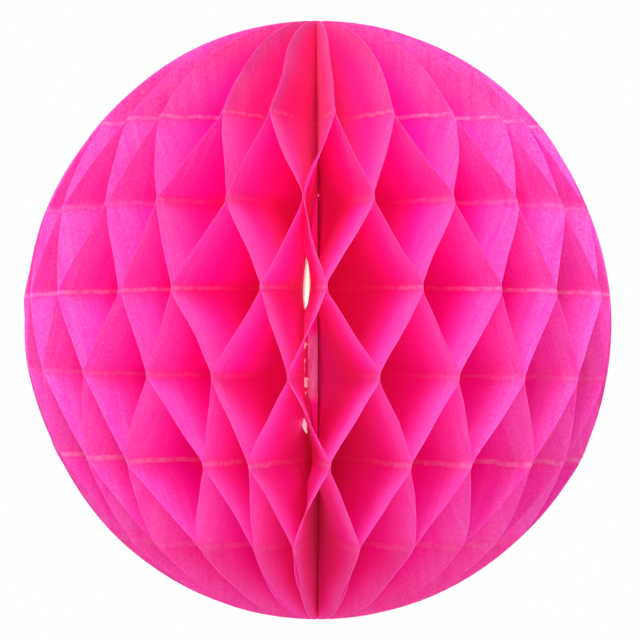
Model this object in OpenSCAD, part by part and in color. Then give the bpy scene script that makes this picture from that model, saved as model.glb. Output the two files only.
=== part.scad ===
// Paper honeycomb ball: half-disc leaves of tissue stand round a spine like the pages of a book
// opened all the way. Each leaf is glued to the next along level glue lines, by turns to the
// leaf on its left and the leaf on its right, so the opened leaves draw out into diamond cells.
// +Z runs up the spine, the origin is the centre of the ball, and the seam faces -Y.

/* [Ball] */
// Height of the open ball along its spine
ball_h = 200; // [180:2:240]
// Width of the open ball as a share of its height
width_ratio = 0.98; // [0.94:0.01:1]
// Number of tissue leaves, in steps of two because the glue lines alternate
leaf_count = 46; // [36:2:46]

/* [Tissue] */
// Thickness of one leaf, which is thicker than real tissue so that it is a sound solid
leaf_t = 0.3; // [0.2:0.05:0.3]
// Clear space between two leaves where they are joined
joint_gap = 0.1; // [0.05:0.05:0.15]
// Distance from the spine's axis to the straight edge of a leaf
leaf_r0 = 5; // [5:0.5:7]

/* [Glue lines] */
// Distance between two glue lines as a share of the ball's height
pitch_ratio = 0.138; // [0.12:0.002:0.16]
// Height of the first glue line over the middle as a share of the ball's height
middle_ratio = 0.051; // [0.02:0.001:0.08]

/* [Seam] */
// Way that the seam faces, in degrees from straight ahead
seam_azimuth = -4.8; // [-20:0.2:20]
// Half the height of the card glued to each end leaf
card_h = 44; // [30:1:60]
// Distance from the spine's axis to the outer edge of a card
card_r = 44; // [30:1:60]
// Thickness of one card
card_t = 0.5; // [0.3:0.1:0.5]
// Thickness of the double-sided tape between the two cards
tape_t = 0.1; // [0.05:0.05:0.1]

/* [Spine] */
// Radius of the core of tissue edges and dried glue
core_r = 4.6; // [4:0.1:4.7]
// Radius of the thread that runs through the core
thread_r = 0.4; // [0.3:0.05:0.5]
// Radius of the knot at each end of the thread
knot_r = 1.8; // [1.5:0.1:2.2]
// Inner radius of the thread eye that the ball hangs by
eye_r = 1.2; // [1:0.1:1.4]

/* [Opening] */
// How far, in degrees, the leaves on the left of the seam are drawn towards it
seam_draw = 3.2; // [0:0.1:4]
// How far, in degrees, the joint right of the cards is drawn towards them on the middle glue line
middle_draw = 2; // [0:0.1:2.5]
// Share of the uneven opening that is modelled, where 0 is a perfectly even ball
unevenness = 1; // [0:0.1:1.2]

/* [Hidden] */
half_h = ball_h / 2;
half_w = half_h * width_ratio;
leaf_step = 360 / leaf_count;
pitch = ball_h * pitch_ratio;
middle_z = ball_h * middle_ratio;

// Glue lines are counted from the top, the first being line 0; line_z gives the height of line k.
// Near the poles there are none: a leaf runs on from the last one as it was glued there.
glued_share = 0.9;
lines_above = floor((half_h * glued_share - middle_z) / pitch);
lines_below = floor((half_h * glued_share + middle_z) / pitch);
last_line = lines_above + lines_below;
function line_z(k) = middle_z + (lines_above - k) * pitch;
function nearest_line(k) = max(0, min(last_line, k));

// An opened ball is never quite even: slow waves move the glue joints to and fro. Each wave is
// [degrees of movement, phase step from leaf to leaf, phase step from line to line, phase].
WAVES = [
    [0.9, 75, -80, -74],
    [0.8, 175, -120, -146],
    [0.8, 55, -60, 149],
    [0.8, 75, 70, 1],
];
function wave(w, k, m) = w[0] * sin(w[1] * m + w[2] * nearest_line(k) + w[3]);
function waves(k, m) = unevenness * (wave(WAVES[0], k, m) + wave(WAVES[1], k, m)
    + wave(WAVES[2], k, m) + wave(WAVES[3], k, m));

// Joints are counted from the seam, so that those on its left are below zero.
function from_seam(m) = m > leaf_count / 2 ? m - leaf_count : m;

// The leaves left of the seam stand closer to it, and the rest of the ball takes up the slack.
draw_leaves = 3;
function draw(m) = seam_draw * min(1, (leaf_count - m) / draw_leaves) * m / leaf_count;

// The cards draw the joint on their right towards them, on the glue line that crosses their middle.
function card_draw(k, m) = m == 1 && k == lines_above ? -middle_draw : 0;

// Azimuth of joint m, between leaves m and m + 1, at glue line k. Joint leaf_count is the seam again.
function joint_azimuth(k, m) =
    m == leaf_count ? joint_azimuth(k, 0) + 360
    : seam_azimuth + m * leaf_step + (m == 0 ? 0 : draw(m)) + waves(k, from_seam(m))
        + card_draw(k, m);

// Azimuth 0 looks out along -Y, and a growing azimuth turns towards +X.
function outward(a) = [sin(a), -cos(a)];
function sideways(a) = [cos(a), sin(a)];
function blend(p, q, f) = p + (q - p) * f;

// The outline of the ball, as a distance from the spine at height z.
function ball_r(z) = max(leaf_r0 + 1, half_w * sqrt(max(0, 1 - pow(z / half_h, 2))));

// An end leaf lies flat against its card from held_r0 out to held_r. Over and under the card it is
// held less far out, until it is free one glue line past the card's end.
held_r0 = leaf_r0 + 4;
held_h = card_h + pitch;
function held_r(z) = held_r0 + (card_r + 2 - held_r0) * sqrt(max(0, 1 - pow(z / held_h, 2)));

// Where the card holds its end leaf flat, measured sideways from the seam to the leaf's middle.
joint_w = (leaf_t + joint_gap) / 2;
card_gap = 0.3;
held_flat = tape_t / 2 + card_t + card_gap + leaf_t / 2;

// Point of joint m at glue line k and distance u from the spine. Beside the cards, the joints next
// to the seam are held against them, and they leave for their own place on the rim past its edge.
function free_point(k, m, u) = u * outward(joint_azimuth(k, m));
function seam_side(m) = m <= leaf_count / 2 ? 1 : -1;
function held_point(m, u) =
    u * outward(seam_azimuth)
    + seam_side(m) * ((m == 1 || m == leaf_count - 1) ? held_flat + joint_w : held_flat - joint_w)
    * sideways(seam_azimuth);
function by_seam(m) = m <= 1 || m >= leaf_count - 1;
function joint_point(k, m, u) =
    let(z = line_z(k), edge = held_r(z), rim = ball_r(z))
    !by_seam(m) || abs(z) >= held_h || u <= leaf_r0 ? free_point(k, m, u)
    : u <= edge ? held_point(m, u)
    : blend(held_point(m, edge), free_point(k, m, rim), (u - edge) / (rim - edge));

// Leaf n lies between joints n - 1 and n and is glued at each of them by turns. Its side is 1
// where it is glued on the right and -1 on the left.
function side(n, k) = (n + nearest_line(k) + lines_above) % 2 == 1 ? 1 : -1;
function joint_of(n, k) = side(n, k) > 0 ? n : n - 1;
function leaf_azimuth(n) = seam_azimuth + (n - 0.5) * leaf_step;
function glued_point(n, k, u) =
    joint_point(k, joint_of(n, k), u) - side(n, k) * joint_w * sideways(leaf_azimuth(n));
function leaf_point(n, z, u) =
    let(t = lines_above + (middle_z - z) / pitch, k = floor(t))
    blend(glued_point(n, k, u), glued_point(n, k + 1, u), t - k);

// Heights at which a leaf has points: on each glue line, and between them along the round rim.
cap = 0.998;
steps_between = 3;
LEVELS = concat(
    [half_h * cap],
    [for (i = [-2 * steps_between : steps_between * (last_line + 2)])
        let(z = line_z(i / steps_between))
        if (abs(z) < half_h * (2 * cap - 1)) z],
    [-half_h * cap]
);

// Distances from the spine at which a leaf has points. The two leaves on each side of the seam
// have two more, where the card begins and ends, drawn in near the poles to stay in order.
function stations(n, z) =
    n > 2 && n < leaf_count - 1 ? [leaf_r0, ball_r(z)]
    : let(share = min(1, (ball_r(z) - leaf_r0) / (half_w / 2)))
        [leaf_r0, blend(leaf_r0, held_r0, share), blend(leaf_r0, held_r(z) + 1, share), ball_r(z)];

// One leaf: a grid of points on its two faces, closed along the spine, the rim and both ends.
module leaf(n) {
    count = len(stations(n, 0));
    rows = len(LEVELS);
    face = [for (s = [-1, 1], z = LEVELS, u = stations(n, z))
        let(p = leaf_point(n, z, u) + s * leaf_t / 2 * sideways(leaf_azimuth(n)))
        [p[0], p[1], z]];
    back = rows * count;
    left_face = [for (r = [0 : rows - 2], c = [0 : count - 2])
        let(a = r * count + c)
        each [[a, a + 1, a + count + 1], [a, a + count + 1, a + count]]];
    right_face = [for (f = left_face) [f[2] + back, f[1] + back, f[0] + back]];
    rim_loop = concat(
        [for (c = [0 : count - 1]) c],
        [for (r = [1 : rows - 1]) r * count + count - 1],
        [for (c = [count - 2 : -1 : 0]) (rows - 1) * count + c],
        [for (r = [rows - 2 : -1 : 1]) r * count]
    );
    rim = [for (i = [0 : len(rim_loop) - 1])
        let(a = rim_loop[i], b = rim_loop[(i + 1) % len(rim_loop)])
        each [[b, a, a + back], [b, a + back, b + back]]];
    color("hotpink") polyhedron(face, concat(left_face, right_face, rim));
}

// Flat half-oval plate in the seam plane, from y0 to y0 + t sideways of it.
module seam_plate(inner, outer, half, y0, t) {
    rotate([0, 0, seam_azimuth - 90])
        translate([0, y0 + t, 0])
            rotate([90, 0, 0])
                linear_extrude(t)
                    intersection() {
                        scale([outer / half, 1])
                            polygon([for (a = [-90 : plate_turn : 90]) half * [cos(a), sin(a)]]);
                        translate([inner, -half])
                            square([outer, 2 * half]);
                    }
}
plate_turn = 7.5;
card_clear = 1;

// Off-white card glued to the first leaf; it stays still while the ball opens.
module right_card() {
    color("ivory")
        seam_plate(held_r0 + card_clear, card_r, card_h - card_clear, tape_t / 2, card_t);
}

// Off-white card glued to the last leaf; it is carried all the way round to the first card.
module left_card() {
    color("ivory")
        seam_plate(held_r0 + card_clear, card_r, card_h - card_clear, -tape_t / 2 - card_t, card_t);
}

// Clear tape stuck to the right card that holds the left one.
tape_inset = 8;
module closing_tape() {
    color("gainsboro")
        seam_plate(held_r0 + tape_inset / 2, card_r - tape_inset, card_h - tape_inset,
            -tape_t / 4, tape_t / 2);
}

// Core where the straight edges of all the leaves are bound together with glue.
core_half = half_h - 7;
module spine_core() {
    color("deeppink")
        difference() {
            translate([0, 0, -core_half])
                cylinder(h = 2 * core_half, r = core_r, $fn = 48);
            translate([0, 0, -core_half - 1])
                cylinder(h = 2 * core_half + 2, r = thread_r + 0.1, $fn = 32);
        }
}

// Thread through the core, knotted over both of its ends.
knot_z = core_half + knot_r;
module spine_thread() {
    color("white")
        translate([0, 0, -core_half - knot_r / 2])
            cylinder(h = 2 * core_half + knot_r, r = thread_r, $fn = 32);
}
module knot(z) {
    color("white")
        difference() {
            translate([0, 0, z])
                sphere(r = knot_r, $fn = 32);
            translate([0, 0, -core_half - knot_r])
                cylinder(h = 2 * (core_half + knot_r), r = thread_r, $fn = 32);
        }
}
module top_knot() {
    knot(knot_z);
}
module bottom_knot() {
    knot(-knot_z);
}

// Small eye of thread that comes out of the top knot, which the ball hangs by.
eye_z = half_h - eye_r - 2 * thread_r;
module hanging_eye() {
    color("white")
        difference() {
            translate([0, 0, eye_z])
                rotate([90, 0, 0])
                    rotate_extrude($fn = 48)
                        translate([eye_r + thread_r, 0])
                            circle(r = thread_r, $fn = 24);
            translate([0, 0, knot_z])
                sphere(r = knot_r, $fn = 32);
        }
}

function two_digits(n) = str(n < 10 ? "0" : "", n);
function leaf_name(n) = str("leaf_", two_digits(n));

right_card();
left_card();
closing_tape();
spine_core();
spine_thread();
top_knot();
bottom_knot();
hanging_eye();
for (n = [1 : leaf_count])
    leaf(n);
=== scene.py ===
import math

import bpy
import numpy as np
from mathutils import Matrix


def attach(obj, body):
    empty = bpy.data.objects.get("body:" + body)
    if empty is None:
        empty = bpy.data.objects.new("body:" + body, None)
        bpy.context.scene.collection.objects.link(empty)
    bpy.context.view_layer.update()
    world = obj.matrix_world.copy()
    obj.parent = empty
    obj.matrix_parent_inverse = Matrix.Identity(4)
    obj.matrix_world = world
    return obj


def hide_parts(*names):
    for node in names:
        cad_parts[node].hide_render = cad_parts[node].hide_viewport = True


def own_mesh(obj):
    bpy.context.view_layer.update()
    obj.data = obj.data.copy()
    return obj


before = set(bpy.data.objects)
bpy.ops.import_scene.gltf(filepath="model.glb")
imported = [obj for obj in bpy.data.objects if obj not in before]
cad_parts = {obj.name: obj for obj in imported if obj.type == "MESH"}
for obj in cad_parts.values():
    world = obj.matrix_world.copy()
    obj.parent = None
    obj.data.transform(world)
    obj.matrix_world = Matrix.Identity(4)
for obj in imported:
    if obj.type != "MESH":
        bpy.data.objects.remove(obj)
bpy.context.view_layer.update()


# ---- Sheet of tissue ----
# One half disc of thin tissue paper, die-cut from a stack. It is laid out flat here, with its points
# closest together along the glue lines, where an opened leaf bends most. All leaves are cut to it.

MM = 0.001
BALL_HALF_HEIGHT = 100 * MM
BALL_HALF_WIDTH = 98 * MM
LEAF_COUNT = 46
GLUE_LINE_COUNT = 6
TOP_GLUE_LINE = 65.4 * MM
GLUE_PITCH = 27.6 * MM
SHEET_COLUMNS = 38
INNER_EDGE = 1.6 * MM
NEAR_GLUE_LINE = np.array([0, 0.5, 1.1, 1.9, 3.0, 4.6, 7.0]) * MM
ROUND_THE_RIM = np.radians([-89.3, -88.3, *range(-87, 88, 3), 88.3, 89.3])


def rim_radius(height):
    """Distance from the spine to the cut rim of a leaf."""
    return BALL_HALF_WIDTH * np.sqrt(np.clip(1 - (height / BALL_HALF_HEIGHT) ** 2, 0, 1))


def row_heights():
    """Heights of the sheet's rows of points: close round each glue line, and evenly round the rim."""
    glue_lines = TOP_GLUE_LINE - GLUE_PITCH * np.arange(GLUE_LINE_COUNT)
    rows = [line + side * step for line in glue_lines for side in (-1, 1) for step in NEAR_GLUE_LINE]
    rows = sorted({round(float(z), 7) for z in rows if abs(z) < 0.999 * BALL_HALF_HEIGHT})
    for z in BALL_HALF_HEIGHT * np.sin(ROUND_THE_RIM):
        near_pole = abs(z) > 0.985 * BALL_HALF_HEIGHT
        if near_pole or min(abs(z - row) for row in rows) > 0.8 * MM:
            rows.append(float(z))
    return np.array(sorted(rows))


def points_of(mesh):
    points = np.zeros(len(mesh.vertices) * 3)
    mesh.vertices.foreach_get("co", points)
    return points.reshape(-1, 3)


def place_points(mesh, points):
    mesh.vertices.foreach_set("co", points.astype(np.float32).ravel())
    mesh.update()


ROWS = row_heights()
bpy.ops.object.select_all(action="DESELECT")
bpy.ops.mesh.primitive_grid_add(x_subdivisions=SHEET_COLUMNS, y_subdivisions=len(ROWS) - 1, size=1)
flat_sheet = bpy.context.object
flat_sheet.name = "flat_sheet"
grid = points_of(flat_sheet.data) + 0.5
sheet_height = ROWS[np.rint(grid[:, 1] * (len(ROWS) - 1)).astype(int)]
inner_edge = np.minimum(INNER_EDGE, rim_radius(sheet_height) / 2)
sheet_out = inner_edge + (rim_radius(sheet_height) - inner_edge) * grid[:, 0]
rim_gap = flat_sheet.data.attributes.new("rim_gap", "FLOAT", "POINT")
rim_gap.data.foreach_set("value", ((rim_radius(sheet_height) - sheet_out) / MM).astype(np.float32))


# ---- Hot pink tissue ----
# Thin dyed tissue: long fibres that lie mostly one way, faint crepe lines, a painted highlight along
# the cut edge, and dried glue that shows through as paler streaks along the glue lines. Light comes
# through it. Deeper in towards the spine, painted shade turns it redder and a painted glow is added.

UV_UNIT = 100 * MM
TISSUE_PINK = (0.970, 0.105, 0.60, 1)
TISSUE_DEEP = (0.960, 0.055, 0.52, 1)
TISSUE_PALE = (0.975, 0.27, 0.75, 1)
# Painted shade: tissue colour without green, for deep in the ball where light has bounced between the
# leaves.
PAINTED_DEEP_SHADE_PINK = (0.980, 0.0, 0.54, 1)
GLUE_PINK = (0.980, 0.42, 0.82, 1)
LIGHT_THROUGH = (0.975, 0.0, 0.50, 1)
SHARE_THROUGH = 0.40
SHEEN = 0.1
# Painted glow given off deep in the ball, standing in for light that soaks through the sheets.
PAINTED_DEEP_GLOW = (0.045, 0.0, 0.006, 1)
PAINTED_GLOW_STRENGTH = 0.5
LEAF_MAP_STEP = 3
STROKE_SLANT = 0.7
STROKE_LENGTH = 5.0
STROKE_FINENESS = 75.0
SMEAR_DARK = (0.36, 0.09, 0.17, 1)
SMEAR_LIGHT = (0.66, 0.44, 0.52, 1)
GLUE_BEAD = (0.97, 0.92, 0.86, 1)


def new_node(tree, kind, **settings):
    """A node of that kind, with its settings."""
    node = tree.nodes.new("ShaderNode" + kind)
    for name, value in settings.items():
        setattr(node, name, value)
    return node


def feed(tree, node, **inputs):
    """Fills a node's inputs by number or name: i0=..., i1=... or Name=... with a value or a socket."""
    for name, value in inputs.items():
        key = int(name[1:]) if name[0] == "i" and name[1:].isdigit() else name.replace("_", " ")
        if isinstance(value, bpy.types.NodeSocket):
            tree.links.new(value, node.inputs[key])
        else:
            node.inputs[key].default_value = value
    return node


def calc(tree, operation, first, second=0.0, third=0.0):
    node = new_node(tree, "Math", operation=operation)
    return feed(tree, node, i0=first, i1=second, i2=third).outputs[0]


def ramp(tree, value, low, high, to_low=0.0, to_high=1.0):
    """Smooth step of a value from low to high."""
    node = new_node(tree, "MapRange", interpolation_type="SMOOTHSTEP")
    return feed(tree, node, i0=value, i1=low, i2=high, i3=to_low, i4=to_high).outputs[0]


def noise(tree, vector, scale, detail=2.0, roughness=0.5):
    node = new_node(tree, "TexNoise")
    feed(tree, node, Vector=vector, Scale=scale, Detail=detail, Roughness=roughness)
    return node.outputs["Fac"]


def stretched(tree, vector, x, y, z=1.0):
    node = new_node(tree, "VectorMath", operation="MULTIPLY")
    return feed(tree, node, i0=vector, i1=(x, y, z)).outputs[0]


def blend_colour(tree, share, first, second, kind="MIX"):
    node = new_node(tree, "Mix", data_type="RGBA", blend_type=kind)
    return feed(tree, node, i0=share, i6=first, i7=second).outputs[2]


def new_group(name, inputs, outputs):
    """An empty shader node group with these named sockets, and its two end nodes."""
    tree = bpy.data.node_groups.new(name, "ShaderNodeTree")
    for socket, kind in inputs.items():
        tree.interface.new_socket(socket, in_out="INPUT", socket_type="NodeSocket" + kind)
    for socket, kind in outputs.items():
        tree.interface.new_socket(socket, in_out="OUTPUT", socket_type="NodeSocket" + kind)
    return tree, tree.nodes.new("NodeGroupInput"), tree.nodes.new("NodeGroupOutput")


def fibre_group():
    """Fibres, crepe lines and cloudy dye of a sheet, from its own flat map in units of 100 mm."""
    tree, start, end = new_group(
        "paper_fibres", {"Map": "Vector"}, {"Cloud": "Float", "Streaks": "Float", "Height": "Float"}
    )
    sheet_map = start.outputs["Map"]
    fibres = noise(tree, stretched(tree, sheet_map, 170, 95), 1.0, 4.0, 0.65)
    crepe = noise(tree, stretched(tree, sheet_map, 46, 2.2), 1.0, 3.0, 0.5)
    cloud = noise(tree, stretched(tree, sheet_map, 22, 14), 1.0, 4.0, 0.6)
    height = calc(tree, "ADD", calc(tree, "MULTIPLY", fibres, 0.8), crepe)
    streaks = calc(tree, "ADD", calc(tree, "MULTIPLY", crepe, 0.3), calc(tree, "MULTIPLY", fibres, 0.7))
    feed(tree, end, Cloud=cloud, Streaks=streaks, Height=height)
    return tree


def glue_line_group():
    """Mask of the dried glue along the glue lines. Some lines were printed heavier than others."""
    tree, start, end = new_group("glue_lines", {"Map": "Vector"}, {"Mask": "Float"})
    split = feed(tree, new_node(tree, "SeparateXYZ"), Vector=start.outputs["Map"])
    height = split.outputs["Y"]
    below_top = calc(tree, "SUBTRACT", TOP_GLUE_LINE / UV_UNIT, height)
    line = calc(tree, "DIVIDE", below_top, GLUE_PITCH / UV_UNIT)
    wander = noise(tree, stretched(tree, start.outputs["Map"], 14, 1), 1.0, 2.0)
    wander = calc(tree, "MULTIPLY", calc(tree, "SUBTRACT", wander, 0.5), 0.06)
    away = calc(tree, "PINGPONG", calc(tree, "ADD", line, wander), 0.5)
    number = calc(tree, "ROUND", line)
    on_a_line = calc(tree, "COMPARE", number, (GLUE_LINE_COUNT - 1) / 2, GLUE_LINE_COUNT / 2)
    odd_line = calc(tree, "PINGPONG", number, 1.0)
    low_line = ramp(tree, number, 3.5, 4.5)
    half_width = calc(tree, "MULTIPLY_ADD", low_line, 0.014, 0.022)
    edge = calc(tree, "DIVIDE", away, half_width)
    band = ramp(tree, edge, 0.55, 1.25, 1.0, 0.0)
    patches = noise(tree, stretched(tree, start.outputs["Map"], 26, 18), 1.0, 3.0, 0.6)
    patches = ramp(tree, patches, 0.36, 0.62, 0.25, 1.0)
    strength = calc(tree, "MULTIPLY_ADD", odd_line, -0.6, 0.95)
    strength = calc(tree, "MULTIPLY", calc(tree, "MULTIPLY", strength, patches), on_a_line)
    feed(tree, end, Mask=calc(tree, "MULTIPLY", band, strength))
    return tree


FIBRES = fibre_group()
GLUE_LINES = glue_line_group()


def group_node(tree, group, **inputs):
    node = tree.nodes.new("ShaderNodeGroup")
    node.node_tree = group
    return feed(tree, node, **inputs)


def empty_material(name):
    material = bpy.data.materials.new(name)
    material.use_nodes = True
    material.node_tree.nodes.clear()
    return material, material.node_tree


def tissue_colour(tree):
    """Colour, roughness, height and painted glow of the tissue, with the nodes that read the leaf's own
    map.
    """
    sheet_map = new_node(tree, "UVMap", uv_map="sheet").outputs["UV"]
    gap = new_node(tree, "Attribute", attribute_name="rim_gap").outputs["Fac"]
    fibres = group_node(tree, FIBRES, Map=sheet_map)
    glue = group_node(tree, GLUE_LINES, Map=sheet_map).outputs["Mask"]
    # Painted shade: the glue streaks fade deeper in towards the spine.
    glue = calc(tree, "MULTIPLY", glue, ramp(tree, gap, 12.0, 45.0, 1.0, 0.2))
    colour = blend_colour(tree, ramp(tree, fibres.outputs["Cloud"], 0.3, 0.7), TISSUE_DEEP, TISSUE_PINK)
    pale = ramp(tree, fibres.outputs["Streaks"], 0.42, 0.66, 0.0, 0.7)
    colour = blend_colour(tree, pale, colour, TISSUE_PALE)
    # Painted shade: the colour turns redder and loses its green deeper in towards the spine.
    inside = ramp(tree, gap, 0.0, 26.0)
    colour = blend_colour(tree, inside, colour, PAINTED_DEEP_SHADE_PINK)
    # Painted glow: a faint red emission that grows deeper in towards the spine.
    painted_glow = blend_colour(tree, ramp(tree, gap, 30.0, 90.0), (0, 0, 0, 1), PAINTED_DEEP_GLOW)
    # Painted highlight: a paler line along the cut rim of the leaf.
    painted_rim_highlight = ramp(tree, gap, 0.15, 0.45, 0.22, 0.0)
    colour = blend_colour(tree, painted_rim_highlight, colour, TISSUE_PALE)
    colour = blend_colour(tree, calc(tree, "MULTIPLY", glue, 0.75), colour, GLUE_PINK)
    roughness = calc(tree, "MULTIPLY_ADD", glue, -0.18, 0.62)
    height = calc(tree, "ADD", fibres.outputs["Height"], calc(tree, "MULTIPLY", glue, 0.5))
    return colour, roughness, height, painted_glow


def finish_tissue(tree, colour, roughness, height, painted_glow):
    """Paper that lets part of the light through. A leaf's two faces count as one sheet, so light
    that is already inside the sheet leaves it freely."""
    bump = feed(tree, new_node(tree, "Bump"), Strength=0.6, Distance=0.2 * MM, Height=height)
    paper = feed(tree, new_node(tree, "BsdfPrincipled"), Base_Color=colour, Roughness=roughness)
    # The emission is painted glow, not a lamp.
    feed(tree, paper, Emission_Color=painted_glow, Emission_Strength=PAINTED_GLOW_STRENGTH)
    feed(tree, paper, IOR=1.32, Normal=bump.outputs["Normal"])
    feed(tree, paper, Sheen_Weight=SHEEN, Sheen_Roughness=0.5, Sheen_Tint=(1, 0.75, 0.95, 1))
    through = new_node(tree, "BsdfTranslucent")
    feed(tree, through, Color=LIGHT_THROUGH, Normal=bump.outputs["Normal"])
    both = new_node(tree, "MixShader")
    feed(tree, both, i0=SHARE_THROUGH, i1=paper.outputs[0], i2=through.outputs[0])
    inside = new_node(tree, "NewGeometry").outputs["Backfacing"]
    sheet = new_node(tree, "MixShader")
    feed(tree, sheet, i0=inside, i1=both.outputs[0], i2=new_node(tree, "BsdfTransparent").outputs[0])
    feed(tree, new_node(tree, "OutputMaterial"), Surface=sheet.outputs[0])


def tissue_material():
    material, tree = empty_material("hot_pink_tissue")
    finish_tissue(tree, *tissue_colour(tree))
    return material


def brushed_glue_mask(tree):
    """Where glue was brushed over the tissue on the first card: jagged strokes, and beads at its edge."""
    sheet_map = new_node(tree, "UVMap", uv_map="sheet").outputs["UV"]
    split = feed(tree, new_node(tree, "SeparateXYZ"), Vector=sheet_map)
    out = calc(tree, "SUBTRACT", split.outputs["X"], LEAF_MAP_STEP)
    height = split.outputs["Y"]
    slant = calc(tree, "MULTIPLY_ADD", out, STROKE_SLANT, height)
    strokes = feed(tree, new_node(tree, "CombineXYZ"), X=calc(tree, "MULTIPLY", out, STROKE_LENGTH))
    feed(tree, strokes, Y=calc(tree, "MULTIPLY", slant, STROKE_FINENESS))
    strokes = noise(tree, strokes.outputs[0], 1.0, 3.0, 0.55)
    jagged = calc(tree, "MULTIPLY", calc(tree, "SUBTRACT", strokes, 0.5), 0.5)
    low_end = ramp(tree, calc(tree, "MULTIPLY_ADD", jagged, 0.3, height), -0.27, -0.24)
    high_end = ramp(tree, calc(tree, "MULTIPLY_ADD", jagged, 0.3, height), -0.06, -0.03, 1.0, 0.0)
    spine_side = ramp(tree, calc(tree, "ADD", out, jagged), 0.03, 0.08)
    card_side = ramp(tree, out, 0.435, 0.45, 1.0, 0.0)
    between_ends = calc(tree, "MULTIPLY", low_end, high_end)
    brushed = calc(tree, "MULTIPLY", between_ends, calc(tree, "MULTIPLY", spine_side, card_side))
    lighter = ramp(tree, strokes, 0.45, 0.62)
    beads = ramp(tree, noise(tree, stretched(tree, sheet_map, 6, 22), 1.0, 3.0, 0.6), 0.50, 0.56)
    at_edge = calc(tree, "MULTIPLY", ramp(tree, out, 0.41, 0.43), ramp(tree, out, 0.52, 0.55, 1.0, 0.0))
    beads = calc(tree, "MULTIPLY", beads, calc(tree, "MULTIPLY", at_edge, between_ends))
    return brushed, lighter, beads


def glued_tissue_material():
    """Tissue of the first leaf, pale and greyish where the white card and its glue show through, with a
    painted glow there in the smear's own colour.
    """
    material, tree = empty_material("tissue_over_card")
    colour, roughness, height, painted_glow = tissue_colour(tree)
    brushed, lighter, beads = brushed_glue_mask(tree)
    smear = blend_colour(tree, lighter, SMEAR_DARK, SMEAR_LIGHT)
    colour = blend_colour(tree, calc(tree, "MULTIPLY", brushed, 0.9), colour, smear)
    colour = blend_colour(tree, beads, colour, GLUE_BEAD)
    # Painted light: where glue and card show through, the emission takes their own colour, as if white
    # light reached them.
    painted_glow = blend_colour(tree, calc(tree, "MAXIMUM", brushed, beads), painted_glow, colour)
    roughness = calc(tree, "MULTIPLY_ADD", calc(tree, "MAXIMUM", brushed, beads), -0.25, roughness)
    height = calc(tree, "MULTIPLY_ADD", beads, 2.0, height)
    finish_tissue(tree, colour, roughness, height, painted_glow)
    return material


TISSUE = tissue_material()
GLUED_TISSUE = glued_tissue_material()


# ---- Tissue leaves ----
# 46 half discs stand round the spine like the pages of a book. Each is glued to its two neighbours
# by turns along the glue lines, so it zigzags between them; the first and last lie on the cards.

SEAM = math.radians(-4.8)
LEAF_STEP = math.tau / LEAF_COUNT
TISSUE_THICKNESS = 0.07 * MM
CAD_JOINT_GAP = 0.2 * MM
JOINT_GAP = 0.06 * MM
GLUED_SHARE = 0.018
SHARP_FOLD = 0.06
SOFT_FOLD = 0.10
HELD_SIDE = 0.60 * MM
HELD_SIDE_SECOND = 0.72 * MM
CARD_BOW = 0.85 * MM
BOW_START = 9 * MM
BOW_END = 44 * MM
SEAM_OPENINGS = ((12 * MM, 10 * MM), (-42 * MM, 11 * MM))
SLOT_BOW = 0.9 * MM
MEETING_SIDE = 0.08 * MM
MEETING_START = 44.2 * MM
MEETING_FULL = 46.5 * MM
MEETING_END = 76 * MM
LOOSE_FROM = 42 * MM
LOOSE_FADE = 12 * MM
DRAWN_FROM = -58 * MM
DRAWN_FADE = 8 * MM
PINCH_FROM = 70 * MM
PINCH_FADE = 12 * MM
PINCH_REACH = 14 * MM
BOW_FORWARD = 0.9
FREE_FROM = 48 * MM
FREE_FADE = 20 * MM
PAST_RIM = 40 * MM
SWAY = 1.6 * MM
SWAY_RIPPLE = 0.5 * MM
SIDE_SAG = 2.2 * MM
LOWER_LEFT_LIFT = 3.9 * MM
LIFT_BELOW = 5 * MM
LIFT_FADE = 25 * MM
LAST_GLUE_LINE = TOP_GLUE_LINE - (GLUE_LINE_COUNT - 1) * GLUE_PITCH


def outward(azimuth):
    """Level direction out from the spine. Azimuth 0 looks along -Y and grows towards +X."""
    return np.array((math.sin(azimuth), -math.cos(azimuth)))


def sideways(azimuth):
    return np.array((math.cos(azimuth), math.sin(azimuth)))


def leaf_azimuth(n):
    return SEAM + (n - 0.5) * LEAF_STEP


def sheet_stations(n, height):
    """Middle of leaf n's solid at that height: pairs of distances out and sideways."""
    points = points_of(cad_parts[f"leaf_{n:02d}"].data)
    points = points[np.abs(points[:, 2] - height) < 0.02 * MM][:, :2]
    out = points @ outward(leaf_azimuth(n))
    side = points @ sideways(leaf_azimuth(n))
    pairs = np.unique(np.round(np.stack((out, side), axis=1) / MM, 3), axis=0) * MM
    count = len(pairs) // 2
    return pairs.reshape(count, 2, 2).mean(axis=1)


def hug_card(n, stations):
    """Lays the leaf that is held beside a card on the card."""
    turn = SEAM - leaf_azimuth(n)
    along = np.array((math.cos(turn), math.sin(turn)))
    across = np.array((-math.sin(turn), math.cos(turn)))
    for station in stations[1:3]:
        side = station @ across
        if abs(side) < 2 * MM:
            flat = HELD_SIDE if n in (1, LEAF_COUNT) else HELD_SIDE_SECOND
            station += (math.copysign(flat, side) - side) * across
    return stations


def seam_opening(height):
    """Where the seam stands open in front of the cards: 1 in the middle of an opening, 0 outside."""
    lenses = [1 - ((height - middle) / half) ** 2 for middle, half in SEAM_OPENINGS]
    return np.clip(np.max(lenses, axis=0), 0, 1)


def bow_of_card(out, height):
    """How far a card stands out from flat: most at its outer edge, in the middle of the seam."""
    middle, half = SEAM_OPENINGS[0]
    bowed = np.clip(1 - ((height - middle) / half) ** 2, 0, 1)
    reach = np.clip((out - BOW_START) / (BOW_END - BOW_START), 0, 1)
    return CARD_BOW * bowed * reach**7


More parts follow.
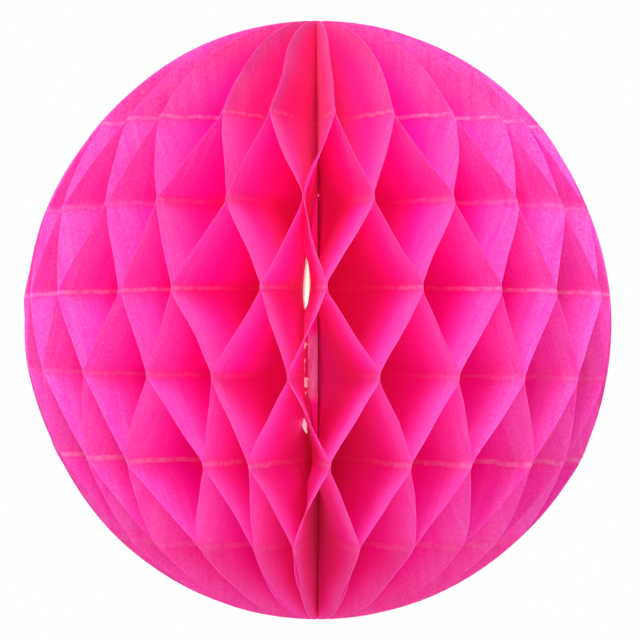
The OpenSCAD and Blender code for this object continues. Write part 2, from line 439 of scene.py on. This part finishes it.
def meet_at_seam(n, side, out, height):
    """Bows an end leaf out with its card, and draws it to the other end leaf past the card's edge."""
    turn = leaf_azimuth(n) - SEAM
    hand = math.copysign(1, math.sin(turn))
    from_seam = hand * (out * math.sin(turn) + side * math.cos(turn))
    rim = rim_radius(height)
    at_rim = rim - out < 1e-4 * MM
    order = np.argsort(height[at_rim])
    rim_side = np.interp(height, height[at_rim][order], from_seam[at_rim][order])
    held = HELD_SIDE if n in (1, LEAF_COUNT) else HELD_SIDE_SECOND
    way_out = np.clip((out - BOW_START) / np.maximum(rim - BOW_START, MM), 0, 1)
    straight = held + (rim_side - held) * way_out
    loose = np.clip((height - LOOSE_FROM) / LOOSE_FADE, 0, 1) * np.clip((out - BOW_START) / MM, 0, 1)
    from_seam = from_seam + loose * (straight - from_seam)
    slot_middle, slot_half = SEAM_OPENINGS[1]
    slot = np.clip(1 - ((height - slot_middle) / slot_half) ** 2, 0, 1)
    slot = SLOT_BOW * slot * np.interp(out, (BOW_START, BOW_END), (0, 1))
    wide = np.clip((rim - MEETING_FULL) / (BALL_HALF_WIDTH - MEETING_FULL), 0.02, 1)
    end = MEETING_FULL + (MEETING_END - MEETING_FULL) * wide
    fade = np.clip((end - out) / (0.7 * (end - MEETING_FULL)), 0, 1)
    from_seam = from_seam + fade * (bow_of_card(out, height) + slot)
    if n in (1, LEAF_COUNT):
        start = np.clip((out - MEETING_START) / (MEETING_FULL - MEETING_START), 0, 1)
        drawn = start * fade * (1 - seam_opening(height))
        drawn = drawn * np.clip((height - DRAWN_FROM) / DRAWN_FADE, 0, 1) * (1 - loose)
        from_seam = (1 - drawn) * from_seam + drawn * MEETING_SIDE
    pinch = np.clip((np.abs(height) - PINCH_FROM) / PINCH_FADE, 0, 1)
    pinch = pinch * np.clip(1 - (out - INNER_EDGE) / PINCH_REACH, 0, 1)
    from_seam = (1 - pinch) * from_seam + pinch * (held - HELD_SIDE + MEETING_SIDE)
    return (hand * from_seam - out * math.sin(turn)) / math.cos(turn)


def glued_line(n, line):
    """How leaf n runs along one glue line: distances out and sideways, from the axis past the rim."""
    height = TOP_GLUE_LINE - line * GLUE_PITCH
    stations = sheet_stations(n, height)
    turns_right = 1 if stations[-1, 1] > 0 else -1
    if len(stations) > 2:
        stations = hug_card(n, stations)
    else:
        stations[:, 1] += turns_right * (CAD_JOINT_GAP - JOINT_GAP)
    slope = (stations[-1] - stations[-2]) / (stations[-1, 0] - stations[-2, 0])
    past_rim = stations[-1] + slope * PAST_RIM
    return np.vstack(((0, 0), stations, past_rim))


def eased(share, fold):
    """Share of the way from one glue line to the next, with a bend of that share next to each."""
    share = np.clip((share - GLUED_SHARE) / (1 - 2 * GLUED_SHARE), 0, 1)
    slope = 1 / (1 - fold)
    near = slope * share**2 / (2 * fold)
    middle = slope * (share - fold / 2)
    far = 1 - slope * (1 - share) ** 2 / (2 * fold)
    return np.where(share < fold, near, np.where(share > 1 - fold, far, middle))


def fold_share(n):
    """The leaves left of the seam are creased sharply at their glue lines, those right of it softly."""
    rightness = 0.5 + 0.5 * math.sin(leaf_azimuth(n))
    return SHARP_FOLD + (SOFT_FOLD - SHARP_FOLD) * rightness


def crumple(n, panel, share, out):
    """Bow and long soft ripples of each panel between two glue lines, none where it is glued."""
    random = np.random.default_rng(1000 + n)
    bow = random.uniform(-0.6, 0.6, GLUE_LINE_COUNT + 1)[panel]
    phase = random.uniform(0, math.tau, (GLUE_LINE_COUNT + 1, 3))[panel]
    free = np.where(panel > 0, np.sin(math.pi * share), 0)
    reach = (out / BALL_HALF_WIDTH) ** 1.5
    long_ripple = 0.16 * np.sin(out / (3.1 * MM) + phase[:, 0] + 1.5 * share)
    short_ripple = 0.06 * np.sin(out / (1.3 * MM) + phase[:, 1] - 2.5 * share)
    twist = 0.35 * np.sin(math.tau * share + phase[:, 2])
    forward = -BOW_FORWARD * math.sin(leaf_azimuth(n))
    return reach * (free**2 * (bow + forward + twist) + free * (long_ripple + short_ripple)) * MM


def sway(joint, height, past, out):
    """Bend that the two leaves of a joint share on their way from the last glue line to a pole."""
    way = np.clip((height - past) / (math.copysign(BALL_HALF_HEIGHT, past) - past), 0, 1)
    bend = SWAY * math.sin(2.4 * joint + 0.7) + SWAY_RIPPLE * np.sin(5 * way + joint)
    return bend * np.sin(math.pi * way) ** 2 * out / (50 * MM)


def settle(azimuth, out, height):
    """How far the opened leaves sag: glue lines hang lower at the sides, and lift at the lower left."""
    aside = math.sin(azimuth) ** 2 * (out / BALL_HALF_WIDTH) ** 2
    low = np.clip((LIFT_BELOW - height) / LIFT_FADE, 0, 1)
    lift = LOWER_LEFT_LIFT * low if math.sin(azimuth) < 0 else 0
    free = 1 - (height / BALL_HALF_HEIGHT) ** 4
    return aside * free * (lift - SIDE_SAG)


def fold_sheet(n):
    """The flat sheet's points, folded as leaf n."""
    lines = [glued_line(n, line) for line in range(-1, GLUE_LINE_COUNT)]
    side_at = np.array([np.interp(sheet_out, line[:, 0], line[:, 1]) for line in lines])
    place = np.clip((TOP_GLUE_LINE - sheet_height) / GLUE_PITCH + 1, 0, GLUE_LINE_COUNT)
    panel = np.minimum(np.floor(place + 1e-6).astype(int), GLUE_LINE_COUNT - 1)
    share = np.clip(place - panel, 0, 1)
    down = eased(share, fold_share(n))
    each = np.arange(len(sheet_out))
    side = (1 - down) * side_at[panel, each] + down * side_at[panel + 1, each]
    by_a_card = n in (1, 2, LEAF_COUNT - 1, LEAF_COUNT)
    loose = np.clip((sheet_out - FREE_FROM) / FREE_FADE, 0, 1) if by_a_card else 1
    side = side + loose * crumple(n, panel, share, sheet_out)
    for height, line in ((TOP_GLUE_LINE, 0), (LAST_GLUE_LINE, GLUE_LINE_COUNT - 1)):
        glued_right = lines[line + 1][-1, 1] > 0
        side = side + loose * sway(n if glued_right else n - 1, sheet_height, height, sheet_out)
    if by_a_card:
        side = meet_at_seam(n, side, sheet_out, sheet_height)
    azimuth = leaf_azimuth(n)
    flat = np.outer(sheet_out, outward(azimuth)) + np.outer(side, sideways(azimuth))
    height = sheet_height + settle(azimuth, sheet_out, sheet_height)
    return np.column_stack((flat, height))


def map_sheet(mesh, n):
    """The leaf's own flat map, in units of 100 mm, moved along so that no two leaves match."""
    corners = np.zeros(len(mesh.loops), dtype=int)
    mesh.loops.foreach_get("vertex_index", corners)
    flat = np.column_stack((sheet_out / UV_UNIT + LEAF_MAP_STEP * n, sheet_height / UV_UNIT))[corners]
    mesh.uv_layers[0].name = "sheet"
    mesh.uv_layers["sheet"].data.foreach_set("uv", flat.astype(np.float32).ravel())


def make_leaf(n):
    leaf = flat_sheet.copy()
    leaf.data = flat_sheet.data.copy()
    leaf.name = f"tissue_leaf_{n:02d}"
    bpy.context.collection.objects.link(leaf)
    map_sheet(leaf.data, n)
    place_points(leaf.data, fold_sheet(n))
    leaf.data.materials.append(GLUED_TISSUE if n == 1 else TISSUE)
    bpy.ops.object.select_all(action="DESELECT")
    leaf.select_set(True)
    bpy.context.view_layer.objects.active = leaf
    wall = leaf.modifiers.new("thickness", "SOLIDIFY")
    wall.thickness = TISSUE_THICKNESS
    wall.offset = 0
    bpy.ops.object.modifier_apply(modifier=wall.name)
    bpy.ops.object.shade_smooth_by_angle(angle=math.radians(50))
    return leaf


for n in range(1, LEAF_COUNT + 1):
    leaf = make_leaf(n)
    body = f"leaf_{n:02d}"
    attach(leaf, body)
    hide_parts(body)
    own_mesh(leaf)

bpy.data.objects.remove(flat_sheet)


# ---- Cards ----
# Two off-white cards, one glued to each end leaf beside the spine, die-cut as half ovals. They stiffen
# the seam, and their outer edges bow a little apart where the ball pulls on them.

CARD_WHITE = (0.93, 0.90, 0.84, 1)
CARD_GREY = (0.62, 0.58, 0.55, 1)
PAINTED_CARD_GLOW = 0.4


def card_material(name, light, dark):
    """Grey-white board with soft specks and flecks of fibre, and a painted glow in its own colour."""
    material, tree = empty_material(name)
    place = new_node(tree, "TexCoord").outputs["Object"]
    specks = ramp(tree, noise(tree, place, 900.0, 4.0, 0.7), 0.42, 0.66)
    layers = ramp(tree, noise(tree, stretched(tree, place, 1, 1, 0.1), 260.0, 3.0), 0.35, 0.65)
    colour = blend_colour(tree, specks, light, dark)
    colour = blend_colour(tree, calc(tree, "MULTIPLY", layers, 0.3), colour, dark)
    height = calc(tree, "ADD", specks, layers)
    bump = feed(tree, new_node(tree, "Bump"), Strength=0.4, Distance=0.05 * MM, Height=height)
    board = feed(tree, new_node(tree, "BsdfPrincipled"), Base_Color=colour)
    feed(tree, board, Roughness=calc(tree, "MULTIPLY_ADD", specks, 0.15, 0.6))
    feed(tree, board, Normal=bump.outputs["Normal"])
    # Painted light: the board glows in its own colour so that it stays bright deep in the seam.
    feed(tree, board, Emission_Color=colour, Emission_Strength=PAINTED_CARD_GLOW)
    feed(tree, new_node(tree, "OutputMaterial"), Surface=board.outputs[0])
    return material


CARD_FACE = card_material("card_face", CARD_WHITE, (0.84, 0.78, 0.72, 1))
CARD_EDGE = card_material("card_edge", CARD_WHITE, CARD_GREY)


def seam_frame(points):
    """Points as distances out along the seam, sideways from it, and up."""
    flat = points[:, :2]
    return np.column_stack((flat @ outward(SEAM), flat @ sideways(SEAM), points[:, 2]))


def from_seam_frame(points):
    flat = np.outer(points[:, 0], outward(SEAM)) + np.outer(points[:, 1], sideways(SEAM))
    return np.column_stack((flat, points[:, 2]))


def make_card(name, side):
    """A grid shaped to the half oval of its CAD node, bowed, and given the thickness of the board."""
    box = seam_frame(points_of(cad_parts[name].data))
    inner, outer = box[:, 0].min(), box[:, 0].max()
    near, far = sorted(np.abs([box[:, 1].min(), box[:, 1].max()]))
    half_height = box[:, 2].max()
    bpy.ops.object.select_all(action="DESELECT")
    bpy.ops.mesh.primitive_grid_add(x_subdivisions=24, y_subdivisions=64, size=1)
    card = bpy.context.object
    card.name = "board_" + name
    grid = points_of(card.data) + 0.5
    turn = (grid[:, 1] * 2 - 1) * math.asin(1 - 1e-4)
    height = half_height * np.sin(turn)
    reach = outer * np.cos(turn)
    start = np.minimum(inner, reach)
    out = start + (reach - start) * grid[:, 0]
    middle = side * ((near + far) / 2 + bow_of_card(out, height))
    place_points(card.data, from_seam_frame(np.column_stack((out, middle, height))))
    card.data.materials.append(CARD_FACE)
    card.data.materials.append(CARD_EDGE)
    board = card.modifiers.new("board", "SOLIDIFY")
    board.thickness = far - near
    board.offset = 0
    board.material_offset_rim = 1
    bpy.ops.object.modifier_apply(modifier=board.name)
    bpy.ops.object.shade_smooth_by_angle(angle=math.radians(40))
    return card


for name, side, body in (("right_card", 1, "right_card"), ("left_card", -1, "left_card")):
    card = make_card(name, side)
    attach(card, body)
    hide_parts(name)


# ---- Closing tape ----
# Clear film tape on the inner face of the right card, which the left card is pressed onto. It was cut
# with scissors, so its outer edge is ragged, and a doubled tongue of it reaches into the lower opening.

TAPE_INNER = 13 * MM
TAPE_OUTER = 41 * MM
TAPE_TONGUE = 26 * MM
TONGUE_HEIGHT = -33.5 * MM
TONGUE_HALF_WIDTH = 4 * MM
TAPE_NARROWING = 9 * MM
TAPE_SIDE = 0.025 * MM
TAPE_HALF_HEIGHT = 36.5 * MM
TAPE_THICKNESS = 0.03 * MM


def tape_material():
    """Clear film, milky where it was pulled and where glue has smeared, with a painted white glow where
    it is doubled.
    """
    material, tree = empty_material("clear_tape")
    place = new_node(tree, "TexCoord").outputs["Object"]
    smears = ramp(tree, noise(tree, stretched(tree, place, 1, 1, 0.25), 420.0, 4.0, 0.6), 0.40, 0.62)
    scratches = ramp(tree, noise(tree, stretched(tree, place, 1, 1, 0.04), 1500.0, 2.0), 0.55, 0.7)
    colour = blend_colour(tree, smears, (0.80, 0.74, 0.74, 1), (0.95, 0.92, 0.90, 1))
    doubled = new_node(tree, "Attribute", attribute_name="doubled").outputs["Fac"]
    milk = calc(tree, "MAXIMUM", calc(tree, "MAXIMUM", smears, scratches), doubled)
    film = feed(tree, new_node(tree, "BsdfPrincipled"), Base_Color=colour, IOR=1.49)
    feed(tree, film, Roughness=calc(tree, "MULTIPLY_ADD", milk, 0.3, 0.15))
    feed(tree, film, Alpha=calc(tree, "MULTIPLY_ADD", milk, 0.45, 0.4))
    # Painted light: the doubled tongue glows white.
    white = blend_colour(tree, doubled, (0, 0, 0, 1), (0.9, 0.85, 0.8, 1))
    feed(tree, film, Emission_Color=white, Emission_Strength=PAINTED_CARD_GLOW)
    feed(tree, new_node(tree, "OutputMaterial"), Surface=film.outputs[0])
    return material


def make_tape():
    bpy.ops.object.select_all(action="DESELECT")
    bpy.ops.mesh.primitive_grid_add(x_subdivisions=30, y_subdivisions=90, size=1)
    tape = bpy.context.object
    tape.name = "film_closing_tape"
    grid = points_of(tape.data) + 0.5
    height = (grid[:, 1] * 2 - 1) * TAPE_HALF_HEIGHT
    ragged = 0.5 * np.sin(height / (0.9 * MM)) + 0.4 * np.sin(height / (2.3 * MM) + 1)
    tongue = TAPE_TONGUE * np.clip(1 - np.abs(height - TONGUE_HEIGHT) / TONGUE_HALF_WIDTH, 0, 1) ** 0.5
    reach = TAPE_OUTER - TAPE_NARROWING * (height / TAPE_HALF_HEIGHT) ** 4 + ragged * MM + tongue
    out = TAPE_INNER + (reach - TAPE_INNER) * grid[:, 0]
    doubled = tape.data.attributes.new("doubled", "FLOAT", "POINT")
    doubled.data.foreach_set("value", (out > TAPE_OUTER + 2 * MM).astype(np.float32))
    side = TAPE_SIDE + bow_of_card(out, height)
    place_points(tape.data, from_seam_frame(np.column_stack((out, side, height))))
    tape.data.materials.append(tape_material())
    film = tape.modifiers.new("film", "SOLIDIFY")
    film.thickness = TAPE_THICKNESS
    film.offset = 0
    bpy.ops.object.modifier_apply(modifier=film.name)
    bpy.ops.object.shade_smooth_by_angle(angle=math.radians(40))
    return tape


tape = make_tape()
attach(tape, "right_card")
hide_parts("closing_tape")


# ---- Bound core ----
# The straight inner edges of all the leaves, drawn tight and soaked with glue into a thin fluted rod.
# The thread runs through its bore, and the leaves stand out from it like pages from a book's back.

CORE_RADIUS = 1.5 * MM
CORE_BORE = 0.44 * MM
CORE_HALF_LENGTH = 93 * MM
CORE_RINGS = 94
CORE_CHAMFER = 0.25 * MM
FLUTE_DEPTH = 0.06 * MM
GLUE_SWELL = 0.05 * MM
SWELL_LENGTH = 2.6 * MM


def core_material():
    """Darker, wet-looking tissue with paler beads of dried glue."""
    material, tree = empty_material("glued_tissue_edges")
    place = new_node(tree, "TexCoord").outputs["Object"]
    beads = ramp(tree, noise(tree, stretched(tree, place, 1, 1, 0.5), 500.0, 3.0, 0.6), 0.52, 0.64)
    fibres = noise(tree, stretched(tree, place, 1, 1, 0.1), 2600.0, 3.0, 0.6)
    colour = blend_colour(tree, fibres, (0.45, 0.005, 0.10, 1), (0.62, 0.01, 0.16, 1))
    colour = blend_colour(tree, beads, colour, (0.80, 0.10, 0.30, 1))
    height = calc(tree, "MULTIPLY_ADD", beads, 1.5, fibres)
    bump = feed(tree, new_node(tree, "Bump"), Strength=0.6, Distance=0.1 * MM, Height=height)
    core = feed(tree, new_node(tree, "BsdfPrincipled"), Base_Color=colour, IOR=1.47)
    feed(tree, core, Roughness=calc(tree, "MULTIPLY_ADD", beads, -0.25, 0.5))
    feed(tree, core, Normal=bump.outputs["Normal"])
    feed(tree, new_node(tree, "OutputMaterial"), Surface=core.outputs[0])
    return material


def make_core():
    """A ring-shaped tube: the outer wall is fluted, one flute to a leaf, and swells where glue ran."""
    bpy.ops.object.select_all(action="DESELECT")
    bpy.ops.mesh.primitive_torus_add(major_segments=4 * LEAF_COUNT, minor_segments=2 * CORE_RINGS)
    core = bpy.context.object
    core.name = "rod_spine_core"
    number = np.arange(len(core.data.vertices))
    around = number // (2 * CORE_RINGS) * (math.tau / (4 * LEAF_COUNT))
    ring = number % (2 * CORE_RINGS)
    outer_wall = ring < CORE_RINGS
    share = np.where(outer_wall, ring, 2 * CORE_RINGS - 1 - ring) / (CORE_RINGS - 1)
    height = (share * 2 - 1) * CORE_HALF_LENGTH
    flutes = FLUTE_DEPTH * np.cos(LEAF_COUNT * around)
    swell = GLUE_SWELL * np.sin(height / SWELL_LENGTH + 2 * np.sin(2 * around))
    radius = np.where(outer_wall, CORE_RADIUS + flutes + swell, CORE_BORE)
    radius = np.where(outer_wall & (share * (1 - share) == 0), radius - CORE_CHAMFER, radius)
    place_points(core.data, np.column_stack((radius * np.cos(around), radius * np.sin(around), height)))
    core.data.materials.append(core_material())
    bpy.ops.object.mode_set(mode="EDIT")
    bpy.ops.mesh.select_all(action="SELECT")
    bpy.ops.mesh.normals_make_consistent(inside=False)
    bpy.ops.object.mode_set(mode="OBJECT")
    bpy.ops.object.shade_smooth_by_angle(angle=math.radians(60))
    return core


core = make_core()
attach(core, "right_card")
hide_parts("spine_core")


# ---- Thread, knots and hanging eye ----
# White two-ply sewing thread: a straight run through the core, a knot tied over each end of it, and
# a small loop that comes out of the top knot to hang the ball by.

THREAD_RADIUS = 0.4 * MM
KNOT_THREAD_RADIUS = 0.34 * MM
PLY_TWIST = 2.6 * MM
KNOT_HEIGHT = 94.8 * MM
KNOT_SIZE = 0.37 * MM
EYE_BOTTOM = 95.9 * MM
EYE_TOP = 99.6 * MM
EYE_HALF_WIDTH = 1.05 * MM
EYE_THREAD_RADIUS = THREAD_RADIUS - 0.05 * MM
THREAD_END = KNOT_HEIGHT - 0.6 * MM


def thread_material():
    """Fine slanting fibres, with painted shade darkening the groove between the two plies."""
    material, tree = empty_material("white_thread")
    place = new_node(tree, "TexCoord").outputs["Object"]
    fibres = noise(tree, stretched(tree, place, 1, 1, 0.35), 9000.0, 3.0, 0.7)
    groove = new_node(tree, "Attribute", attribute_name="ply_groove_shade").outputs["Fac"]
    colour = blend_colour(tree, fibres, (0.86, 0.82, 0.79, 1), (0.95, 0.93, 0.91, 1))
    # Painted shade in the groove between the plies.
    colour = blend_colour(tree, calc(tree, "MULTIPLY", groove, 0.5), colour, (0.62, 0.48, 0.50, 1))
    bump = feed(tree, new_node(tree, "Bump"), Strength=0.5, Distance=0.03 * MM, Height=fibres)
    thread = feed(tree, new_node(tree, "BsdfPrincipled"), Base_Color=colour)
    feed(tree, thread, Roughness=calc(tree, "MULTIPLY_ADD", fibres, 0.2, 0.6))
    feed(tree, thread, Normal=bump.outputs["Normal"])
    feed(tree, new_node(tree, "OutputMaterial"), Surface=thread.outputs[0])
    return material


THREAD = thread_material()


def twist_thread(thread, path, radius, around, along):
    """Wraps a mesh round a path as two twisted plies. path(share) gives points, along runs 0 to 1."""
    step = 1e-4
    middle = path(along)
    heading = path(along + step) - path(along - step)
    heading /= np.linalg.norm(heading, axis=1)[:, None]
    level = np.cross(heading, (0.36, 0.93, 0.05))
    level /= np.linalg.norm(level, axis=1)[:, None]
    third = np.cross(heading, level)
    length = np.linalg.norm(np.diff(path(np.linspace(0, 1, 400)), axis=0), axis=1).sum()
    turns = max(1, round(length / PLY_TWIST))
    round_ply = np.abs(np.cos(around - math.pi * turns * along))
    reach = radius * (0.66 + 0.34 * round_ply)
    offset = np.cos(around)[:, None] * level + np.sin(around)[:, None] * third
    # How deep a point lies in the groove between the plies, for painted shade there.
    groove = thread.data.attributes.new("ply_groove_shade", "FLOAT", "POINT")
    groove.data.foreach_set("value", ((1 - round_ply) ** 2).astype(np.float32))
    place_points(thread.data, middle + reach[:, None] * offset)
    thread.data.materials.append(THREAD)
    bpy.ops.object.mode_set(mode="EDIT")
    bpy.ops.mesh.select_all(action="SELECT")
    bpy.ops.mesh.normals_make_consistent(inside=False)
    bpy.ops.object.mode_set(mode="OBJECT")
    bpy.ops.object.shade_smooth_by_angle(angle=math.radians(70))


def looped_thread(name, path, radius, steps, sides=16):
    """Thread whose path closes on itself."""
    bpy.ops.object.select_all(action="DESELECT")
    bpy.ops.mesh.primitive_torus_add(major_segments=steps, minor_segments=sides)
    loop = bpy.context.object
    loop.name = name
    number = np.arange(steps * sides)
    twist_thread(loop, path, radius, number % sides * (math.tau / sides), number // sides / steps)
    return loop


def straight_thread(name, half_length, radius, steps, sides=16):
    """Thread through the core, closed at both ends."""
    bpy.ops.object.select_all(action="DESELECT")
    bpy.ops.mesh.primitive_grid_add(x_subdivisions=sides, y_subdivisions=steps, size=1)
    thread = bpy.context.object
    thread.name = name
    grid = points_of(thread.data) + 0.5
    up = (0, 0, 1)
    twist_thread(thread, lambda share: np.outer((2 * share - 1) * half_length, up), radius,
                 grid[:, 0] * math.tau, grid[:, 1])
    bpy.ops.object.mode_set(mode="EDIT")
    bpy.ops.mesh.select_all(action="SELECT")
    bpy.ops.mesh.remove_doubles(threshold=0.002 * MM)
    bpy.ops.mesh.select_all(action="DESELECT")
    bpy.ops.mesh.select_mode(type="EDGE")
    bpy.ops.mesh.select_non_manifold()
    bpy.ops.mesh.edge_face_add()
    bpy.ops.mesh.select_all(action="SELECT")
    bpy.ops.mesh.normals_make_consistent(inside=False)
    bpy.ops.object.mode_set(mode="OBJECT")
    return thread


def knot_path(middle):
    """Trefoil knot, flat on the end of the core."""
    def path(share):
        turn = share * math.tau
        x = np.sin(turn) + 2 * np.sin(2 * turn)
        y = np.cos(turn) - 2 * np.cos(2 * turn)
        z = -1.6 * np.sin(3 * turn)
        return np.column_stack((x, y, z)) * KNOT_SIZE + (0, 0, middle)
    return path


def eye_path(share):
    """Loop that leaves the knot narrow and is widest near its top."""
    turn = share * math.tau
    height = (EYE_TOP + EYE_BOTTOM) / 2 - np.cos(turn) * (EYE_TOP - EYE_BOTTOM) / 2
    width = EYE_HALF_WIDTH * np.sin(turn) * (1 - 0.3 * np.cos(turn)) / 1.1
    return np.column_stack((width, 0 * turn, height))


threads = {
    "spine_thread": straight_thread("run_spine_thread", THREAD_END, THREAD_RADIUS, 500),
    "top_knot": looped_thread("tied_top_knot", knot_path(KNOT_HEIGHT), KNOT_THREAD_RADIUS, 160),
    "bottom_knot": looped_thread("tied_bottom_knot", knot_path(-KNOT_HEIGHT), KNOT_THREAD_RADIUS, 160),
    "hanging_eye": looped_thread("loop_hanging_eye", eye_path, EYE_THREAD_RADIUS, 140),
}
for node, thread in threads.items():
    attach(thread, "right_card")
    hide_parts(node)


# ---- Floor, light and camera ----
# A plain pale floor well below the hanging ball, wide soft lights over the front and behind it, and
# a camera level with the middle of the ball.

BALL_MIDDLE_SHIFT = 0.003125
CAMERA_DISTANCE = 1.0
CAMERA_LENS = 167.6
FLOOR_HEIGHT = -0.55
FLOOR_RADIUS = 1.5
PAPER_BOUNCES = 28


def floor_material():
    material, tree = empty_material("floor")
    place = new_node(tree, "TexCoord").outputs["Object"]
    grain = noise(tree, place, 40.0, 3.0)
    colour = blend_colour(tree, grain, (0.86, 0.86, 0.86, 1), (0.90, 0.90, 0.90, 1))
    paint = feed(tree, new_node(tree, "BsdfPrincipled"), Base_Color=colour, Roughness=0.8)
    feed(tree, new_node(tree, "OutputMaterial"), Surface=paint.outputs[0])
    return material


bpy.ops.object.select_all(action="DESELECT")
bpy.ops.mesh.primitive_circle_add(vertices=96, radius=FLOOR_RADIUS, fill_type="NGON",
                                  location=(0, 0, FLOOR_HEIGHT))
floor = bpy.context.object
floor.name = "floor"
floor.data.materials.append(floor_material())


def soft_light(name, place, size, power):
    """A round area light at that place, turned to the middle of the ball."""
    light = bpy.data.lights.new(name, "AREA")
    light.shape = "DISK"
    light.size = size
    light.energy = power
    holder = bpy.data.objects.new(name, light)
    bpy.context.collection.objects.link(holder)
    holder.location = place
    way = -np.array(place)
    holder.rotation_euler = (
        math.acos(-way[2] / np.linalg.norm(way)),
        0,
        math.atan2(-way[0], way[1]),
    )


def studio_world():
    """White all round, as a light tent: brightest overhead and dimmest below."""
    world = bpy.data.worlds.new("light_tent")
    bpy.context.scene.world = world
    world.use_nodes = True
    tree = world.node_tree
    tree.nodes.clear()
    way = new_node(tree, "TexCoord").outputs["Generated"]
    height = feed(tree, new_node(tree, "SeparateXYZ"), Vector=way).outputs["Z"]
    around = ramp(tree, height, -0.6, 0.9, 0.03, 0.58)
    tent = feed(tree, new_node(tree, "Background"), Color=(1, 1, 1, 1), Strength=around)
    backdrop = feed(tree, new_node(tree, "Background"), Color=(1, 1, 1, 1), Strength=1.0)
    seen = new_node(tree, "LightPath").outputs["Is Camera Ray"]
    both = feed(tree, new_node(tree, "MixShader"), i0=seen, i1=tent.outputs[0], i2=backdrop.outputs[0])
    feed(tree, new_node(tree, "OutputWorld"), Surface=both.outputs[0])


studio_world()
bpy.context.scene.cycles.max_bounces = PAPER_BOUNCES
bpy.context.scene.cycles.diffuse_bounces = PAPER_BOUNCES
bpy.context.scene.cycles.transmission_bounces = PAPER_BOUNCES
soft_light("key", (-0.35, -1.5, 1.8), 1.3, 68)
soft_light("front", (0.1, -2.2, 0.0), 1.0, 10)
soft_light("back", (0.4, 1.9, 1.0), 1.4, 22)

camera_data = bpy.data.cameras.new("camera")
camera = bpy.data.objects.new("camera", camera_data)
bpy.context.collection.objects.link(camera)
camera.location = (0, -CAMERA_DISTANCE, 0)
camera.rotation_euler = (math.radians(90), 0, 0)
camera_data.lens = CAMERA_LENS
camera_data.shift_x = BALL_MIDDLE_SHIFT
camera_data.clip_start = 0.05
camera_data.clip_end = 20
bpy.context.scene.camera = camera
bpy.context.scene.view_settings.view_transform = "Standard"
